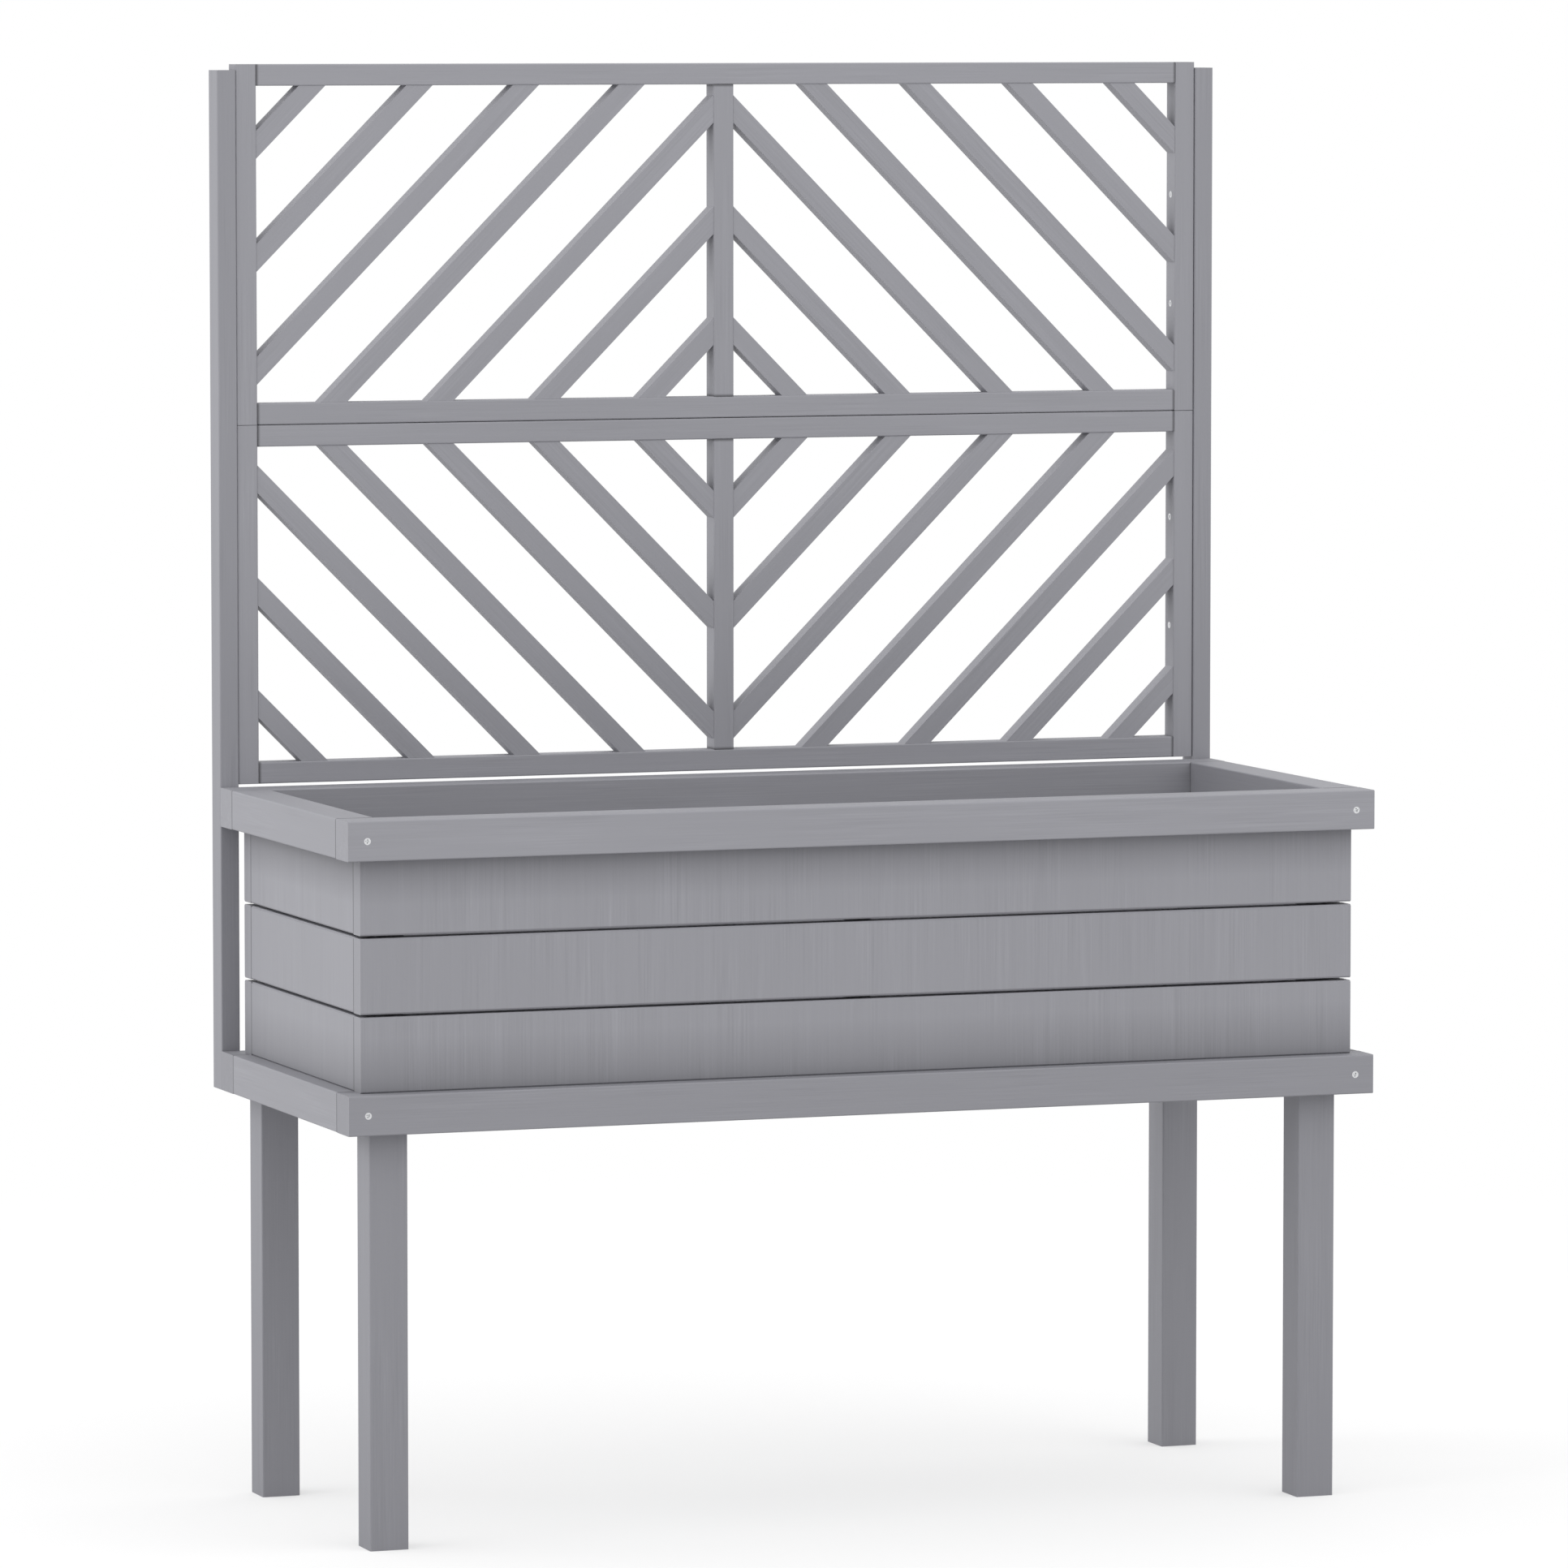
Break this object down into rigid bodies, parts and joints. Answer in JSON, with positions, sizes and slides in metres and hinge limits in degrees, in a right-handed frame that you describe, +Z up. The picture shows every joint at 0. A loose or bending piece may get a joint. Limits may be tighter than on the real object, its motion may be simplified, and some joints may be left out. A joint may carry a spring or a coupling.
{
  "type": "planter with trellis",
  "caption": "Raised painted timber planter box on square legs, with a framed trellis of diagonal slats fixed to posts behind it.",
  "frame": {"origin": "on the ground, under the middle of the whole footprint: the rings in front and the trellis posts behind", "axes": "+X runs along the box to the viewer's right, +Y from the front of the box towards the trellis behind it, +Z up"},
  "size_m": [1.1, 0.465, 1.471],
  "materials": {
    "box_paint": "planed softwood under satin grey paint with a faint violet tint",
    "trellis_paint": "planed softwood under satin grey paint with a faint violet tint",
    "floor_paint": "sawn softwood under the same grey paint, more matt",
    "screws": "bright zinc plate, satin"
  },
  "bodies": {
    "root": {"back_board_bottom": "box_paint", "back_board_middle": "box_paint", "back_board_top": "box_paint", "corner_batten_back_left": "floor_paint", "corner_batten_back_right": "floor_paint", "corner_batten_front_left": "floor_paint", "corner_batten_front_right": "floor_paint", "floor_bearer_left": "floor_paint", "floor_bearer_middle": "floor_paint", "floor_bearer_right": "floor_paint", "floor_board_1": "floor_paint", "floor_board_2": "floor_paint", "floor_board_3": "floor_paint", "floor_board_4": "floor_paint", "floor_board_5": "floor_paint", "front_board_bottom": "box_paint", "front_board_middle": "box_paint", "front_board_top": "box_paint", "left_board_bottom": "box_paint", "left_board_middle": "box_paint", "left_board_top": "box_paint", "leg_front_left": "box_paint", "leg_front_right": "box_paint", "leg_rear_left": "box_paint", "leg_rear_right": "box_paint", "leg_screws": "screws", "lower_panel_rail_bottom": "trellis_paint", "lower_panel_rail_top": "trellis_paint", "lower_rail_back": "box_paint", "lower_rail_front": "box_paint", "lower_rail_left": "box_paint", "lower_rail_right": "box_paint", "lower_slats_left": "trellis_paint", "lower_slats_right": "trellis_paint", "lower_stile_left": "trellis_paint", "lower_stile_middle": "trellis_paint", "lower_stile_right": "trellis_paint", "panel_screws": "screws", "post_left": "trellis_paint", "post_right": "trellis_paint", "post_screws": "screws", "right_board_bottom": "box_paint", "right_board_middle": "box_paint", "right_board_top": "box_paint", "ring_screws": "screws", "upper_panel_rail_bottom": "trellis_paint", "upper_panel_rail_top": "trellis_paint", "upper_rail_back": "box_paint", "upper_rail_front": "box_paint", "upper_rail_left": "box_paint", "upper_rail_right": "box_paint", "upper_slats_left": "trellis_paint", "upper_slats_right": "trellis_paint", "upper_stile_left": "trellis_paint", "upper_stile_middle": "trellis_paint", "upper_stile_right": "trellis_paint", "wall_batten_back": "floor_paint", "wall_batten_front": "floor_paint"}
  },
  "joints": []
}
